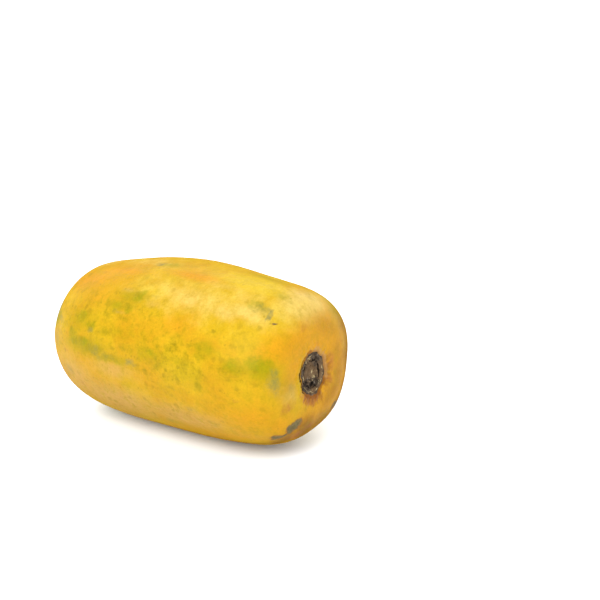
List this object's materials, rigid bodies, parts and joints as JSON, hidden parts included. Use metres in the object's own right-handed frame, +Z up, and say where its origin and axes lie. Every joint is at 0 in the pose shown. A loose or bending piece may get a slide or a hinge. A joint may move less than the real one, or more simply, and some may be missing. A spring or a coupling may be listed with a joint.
{
  "type": "papaya",
  "caption": "Whole ripe papaya lying on its side: a blunt oblong yellow fruit with faint ridges, green mottling and a sunken corky stem scar",
  "frame": {"origin": "centre of the bounding box on the resting plane, under the middle of the fruit lying on its side", "axes": "+X along the fruit toward the stem scar, +Z up, +Y across the fruit"},
  "size_m": [0.211, 0.1182, 0.1179],
  "materials": {
    "skin": "smooth waxy fruit skin with a soft satin sheen"
  },
  "bodies": {
    "root": {"papaya": "skin"}
  },
  "joints": []
}
